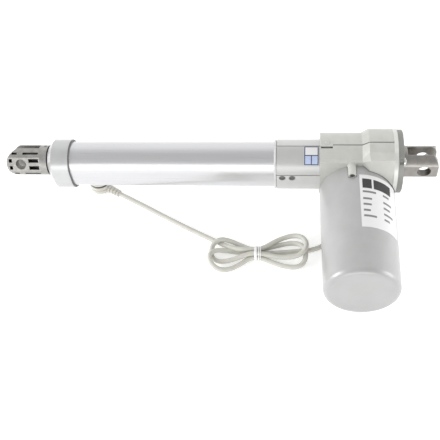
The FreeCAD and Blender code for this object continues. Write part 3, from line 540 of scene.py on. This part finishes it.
# ---- the tie round the hank --------------------------------------------------------------------
TIE_THICK = 0.6 * MM
TIE_GAP = 0.05 * MM             # between the strands and the tie
TIE_LOWEST = TABLE_Z + 0.1 * MM
CORNER_STEPS = 8                # at each of the loop's four rounded corners
# Each turn of the tie: how far right of the middle it lies, and its width.
TIE_TURNS = [(0.0, 2.5 * MM), (2.7 * MM, 0.9 * MM), (4.3 * MM, 0.9 * MM)]


def tie_loop(radius):
    """Points round the bundle of strands at that distance from the outer strands' centres."""
    corners = [("near", 180, 270), ("far", 270, 360), ("upper_far", 0, 90), ("upper_near", 90, 180)]
    loop = []
    for slot, start, end in corners:
        _, y, z = at_tie(slot, 0)
        for step in range(CORNER_STEPS + 1):
            angle = math.radians(start + (end - start) * step / CORNER_STEPS)
            loop.append((y + radius * math.cos(angle), z + radius * math.sin(angle)))
    return loop


def make_tie(film):
    """A clear band round the strands in three turns, each crowned a little across its width."""
    near = CORD_D / 2 + TIE_GAP
    inner, outer, crown = (tie_loop(near + thick) for thick in (0, 0.75 * TIE_THICK, TIE_THICK))
    pieces = []
    for number, (shift, width) in enumerate(TIE_TURNS, 1):
        half = width / 2
        section = [(-half, inner), (-half, outer), (-half * 0.5, crown), (half * 0.5, crown),
                   (half, outer), (half, inner), (-half, inner)]
        rows = [[(TIE_X + shift + x, y, max(z, TIE_LOWEST)) for y, z in ring]
                for x, ring in section]
        name = f"tie_turn_{number}"
        pieces.append(new_piece(name, mesh_from_rows(name, rows, True, False), film))
    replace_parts(pieces[0], "cord_tie")
    return pieces


# ---- the plug and its bend relief --------------------------------------------------------------
PLUG_CENTRE = Vector((-0.3123, 0.0116, TABLE_Z))
PLUG_R = 11.0 * MM
RELIEF_RIBS = 4
RELIEF_THIN = 3.4 * MM
RELIEF_THICK = 4.1 * MM
RELIEF_GAP_DEPTH = 1.5 * MM
RELIEF_SUNK = 1.0 * MM          # how far the relief's end runs into the plug
CREASE = 38                     # degrees: the plug's and relief's sharper edges stay crisp
# One rib: how far along it, and how deep into the gap between ribs.
RIB_SECTION = [(0.0, 0.2), (0.07, 0.0), (0.45, 0.0), (0.53, 0.2), (0.56, 1.0), (0.97, 1.0)]
PLUG_SEGMENTS = 72
RELIEF_SEGMENTS = 32
AXIS_R = 0.05                   # millimetres: stands for a radius of nothing, on the axis
# The plug's half section in millimetres: radius and height above the table, foot to barrel.
PLUG_SECTION = [
    (0.0, 0.0), (9.2, 0.0), (10.2, 0.25), (10.8, 0.9), (11.0, 1.8), (11.0, 4.6), (10.3, 4.9),
    (10.3, 5.7), (11.0, 6.0), (11.0, 8.2), (10.8, 8.8), (10.2, 9.0), (8.2, 9.0), (8.2, 11.0),
    (10.0, 11.0), (10.5, 11.3), (10.6, 12.0), (10.6, 14.1), (10.3, 14.8), (9.7, 15.0),
    (9.0, 15.0), (9.0, 14.3), (8.3, 14.3), (8.3, 15.0), (7.5, 15.0), (0.0, 15.0),
]


def ring_of_points(centre, first, second, radius, count):
    """A circle of points round a centre, in the plane of two unit vectors."""
    turns = (2 * math.pi * k / count for k in range(count))
    return [centre + radius * (math.cos(t) * first + math.sin(t) * second) for t in turns]


def make_plug(vinyl):
    """The moulded plug: a turned body with finger grooves, standing on its back."""
    across, along = Vector((1, 0, 0)), Vector((0, 1, 0))
    rows = [
        ring_of_points(PLUG_CENTRE + Vector((0, 0, z * MM)), across, along,
                       max(r, AXIS_R) * MM, PLUG_SEGMENTS)
        for r, z in PLUG_SECTION
    ]
    mesh = mesh_from_rows("plug_moulding", rows, True, True)
    sharpen(mesh, CREASE)
    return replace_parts(new_piece("plug_moulding", mesh, vinyl), "plug_body")


def make_relief(vinyl):
    """The bend relief: ribs that swell from the cord to the plug, level with the table below."""
    start = Vector(PLUG_ROUTE[-1])
    out = PLUG_CENTRE - start
    out.z = 0
    reach = out.length - PLUG_R + RELIEF_SUNK
    out.normalize()
    sideways = Vector((-out.y, out.x, 0))
    up = Vector((0, 0, 1))
    rows = []
    for rib in range(RELIEF_RIBS):
        for share, gap in RIB_SECTION:
            along = (rib + share) / RELIEF_RIBS
            full = RELIEF_THIN + along * (RELIEF_THICK - RELIEF_THIN)
            centre = start + along * reach * out
            centre.z = TABLE_Z + full
            radius = full - gap * RELIEF_GAP_DEPTH
            rows.append(ring_of_points(centre, sideways, up, radius, RELIEF_SEGMENTS))
    mesh = mesh_from_rows("ribbed_relief", rows, True, True)
    sharpen(mesh, CREASE)
    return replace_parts(new_piece("ribbed_relief", mesh, vinyl), "plug_relief")


# ---- print on the labels -----------------------------------------------------------------------
cover_low, cover_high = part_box("motor_cover")
COVER_X = (cover_low.x + cover_high.x) / 2
COVER_Z = (cover_low.z + cover_high.z) / 2
COVER_R = (cover_high.x - cover_low.x) / 2
COVER_TAPER = 0.0158            # the cover's radius shrinks by this much per metre towards its end
INK_LIFT = 0.26 * MM
# The block and the bar over the rows: from and to, in millimetres of Y and degrees round.
HEADER_Y = (-46.0, -35.5)
HEADER_SPANS = [(3, 17), (20, 52)]
COLUMNS = (3, 35)               # degrees at which the rows' two dashes start
DASH = 2.1                      # millimetres
# Each row of dashes on the label: its Y in millimetres, and its two dashes' lengths in degrees.
ROW_PLACES = [(-49.0, 20, 12), (-56.6, 13, 17), (-62.8, 12, 13), (-69.2, 10, 19), (-75.2, 19, 11)]
NECK_INK_R = 19.85 * MM
STICKER_X = (-107.2, -94.4)     # millimetres
STICKER_ANGLES = (35.2, 87.2)
STICKER_LINE = 0.85             # millimetres along X
STICKER_LINE_ANGLE = 2.5        # the same width, in degrees round the neck
STICKER_SPLIT = 0.49            # the two small cells' share of the sticker's height
PATCH_STEPS = 8


def on_cover(angle, y):
    """A point just outside the cover's label: degrees from the top towards the rear clevis."""
    radius = COVER_R + COVER_TAPER * (y * MM - cover_high.y) + INK_LIFT
    turn = math.radians(angle)
    return (COVER_X + radius * math.sin(turn), y * MM, COVER_Z + radius * math.cos(turn))


def on_neck(x, angle):
    """A point just outside the neck's label: degrees from the front towards the top."""
    turn = math.radians(angle)
    return (x * MM, -NECK_INK_R * math.cos(turn), NECK_INK_R * math.sin(turn))


def patches(name, areas, place, ink):
    """One piece made of thin patches; each area is (u0, u1, v0, v1) on a curved surface."""
    bm = bmesh.new()
    steps = PATCH_STEPS
    for u0, u1, v0, v1 in areas:
        grid = [[bm.verts.new(place(u0 + (u1 - u0) * i / steps, v0 + (v1 - v0) * j / steps))
                 for j in range(steps + 1)] for i in range(steps + 1)]
        for i in range(steps):
            for j in range(steps):
                bm.faces.new((grid[i][j], grid[i + 1][j], grid[i + 1][j + 1], grid[i][j + 1]))
    mesh = bpy.data.meshes.new(name)
    bm.to_mesh(mesh)
    bm.free()
    return new_piece(name, mesh, ink)


def make_print(black, grey_ink, navy, pale_blue):
    """Generic marks: a block and a bar over rows of dashes, and a framed three-cell sticker."""
    header = [(*span, *HEADER_Y) for span in HEADER_SPANS]
    patches("label_header", header, on_cover, black)
    rows = []
    for y, *lengths in ROW_PLACES:
        for start, length in zip(COLUMNS, lengths):
            rows.append((start, start + length, y - DASH, y))
    patches("label_rows", rows, on_cover, grey_ink)
    x0, x1 = STICKER_X
    low, high = STICKER_ANGLES
    middle_x = (x0 + x1) / 2
    divider = low + STICKER_SPLIT * (high - low)
    half, half_angle = STICKER_LINE / 2, STICKER_LINE_ANGLE / 2
    frame_lines = [
        (x0, x1, low, low + STICKER_LINE_ANGLE),
        (x0, x1, high - STICKER_LINE_ANGLE, high),
        (x0, x0 + STICKER_LINE, low, high),
        (x1 - STICKER_LINE, x1, low, high),
        (x0, x1, divider - half_angle, divider + half_angle),
        (middle_x - half, middle_x + half, low, divider),
    ]
    patches("sticker_frame", frame_lines, on_neck, navy)
    cells = [
        (x0 + STICKER_LINE, middle_x - half, low + STICKER_LINE_ANGLE, divider - half_angle),
        (middle_x + half, x1 - STICKER_LINE, low + STICKER_LINE_ANGLE, divider - half_angle),
    ]
    patches("sticker_cells", cells, on_neck, pale_blue)


# ---- the studio --------------------------------------------------------------------------------
FLOOR_HALF = 4.0
FLOOR_GLOW = 0.36
SURROUND = 1.14
SURROUND_DIM = 0.60
DIM_ELEVATION = math.radians(62.0)
DIM_STARTS = math.radians(78)   # from the dimmest direction
DIM_FULL = math.radians(12)
# Each soft box: where it stands, its width and height, and its watts.
SOFT_BOXES = {
    "left_box": ((-1.6, -0.15, 0.42), 1.2, 0.7, 14.0),
    "front_box": ((-0.19, -1.6, 0.22), 1.6, 0.5, 6.0),
    "right_box": ((1.25, -0.15, 0.38), 1.2, 0.7, 8.0),
}
LIT_PLACE = (-0.19, -0.03, 0.0)


def make_floor():
    """A pale table top, wide enough to fill every view."""
    ends = (-FLOOR_HALF, FLOOR_HALF)
    rows = [[(x, y, TABLE_Z) for x in ends] for y in ends]
    floor = bpy.data.objects.new("floor", mesh_from_rows("floor", rows, False, False))
    bpy.context.scene.collection.objects.link(floor)
    paper = Finish("paper", Roughness=0.9, Emission_Color=(1, 1, 1, 1), Emission_Strength=FLOOR_GLOW)
    fibres = paper.noise(2 * MM, 3.0)
    paper.colour(paper.blend(fibres, grey(0.90), grey(0.93)))
    floor.data.materials.append(paper.material)


def area_light(name, place, width, height, watts):
    """A rectangular soft box that faces the middle of the object."""
    light = bpy.data.lights.new(name, "AREA")
    light.shape = "RECTANGLE"
    light.size = width
    light.size_y = height
    light.energy = watts
    lamp = bpy.data.objects.new(name, light)
    bpy.context.scene.collection.objects.link(lamp)
    lamp.location = place
    lamp.rotation_mode = "QUATERNION"
    lamp.rotation_quaternion = (Vector(LIT_PLACE) - Vector(place)).to_track_quat("-Z", "Y")


def make_world():
    """A white surround that dims smoothly towards the front above the object, where the camera is."""
    world = bpy.data.worlds.new("studio")
    world.use_nodes = True
    tree = world.node_tree
    direction = tree.nodes.new("ShaderNodeTexCoord").outputs["Generated"]
    towards = tree.nodes.new("ShaderNodeVectorMath")
    towards.operation = "DOT_PRODUCT"
    tree.links.new(direction, towards.inputs[0])
    towards.inputs[1].default_value = (
        math.sin(AZIMUTH) * math.cos(DIM_ELEVATION),
        -math.cos(AZIMUTH) * math.cos(DIM_ELEVATION),
        math.sin(DIM_ELEVATION),
    )
    fade = tree.nodes.new("ShaderNodeMapRange")
    fade.interpolation_type = "SMOOTHSTEP"
    tree.links.new(towards.outputs["Value"], fade.inputs["Value"])
    fade.inputs["From Min"].default_value = math.cos(DIM_STARTS)
    fade.inputs["From Max"].default_value = math.cos(DIM_FULL)
    fade.inputs["To Min"].default_value = SURROUND
    fade.inputs["To Max"].default_value = SURROUND_DIM
    background = tree.nodes["Background"]
    background.inputs["Color"].default_value = (1.0, 1.0, 1.0, 1)
    tree.links.new(fade.outputs["Result"], background.inputs["Strength"])
    bpy.context.scene.world = world


def make_studio():
    """Even light from all round, with soft boxes in front and at both sides."""
    make_floor()
    make_world()
    for name, box in SOFT_BOXES.items():
        area_light(name, *box)
    bpy.context.scene.view_settings.view_transform = "Standard"


# ---- the whole scene ---------------------------------------------------------------------------
make_camera()
finishes = make_materials()
cord = make_cord(finishes["vinyl"])
tie_turns = make_tie(finishes["tie"])
plug = make_plug(finishes["vinyl"])
relief = make_relief(finishes["vinyl"])
make_print(finishes["black"], finishes["grey"], finishes["navy"], finishes["pale_blue"])
make_studio()
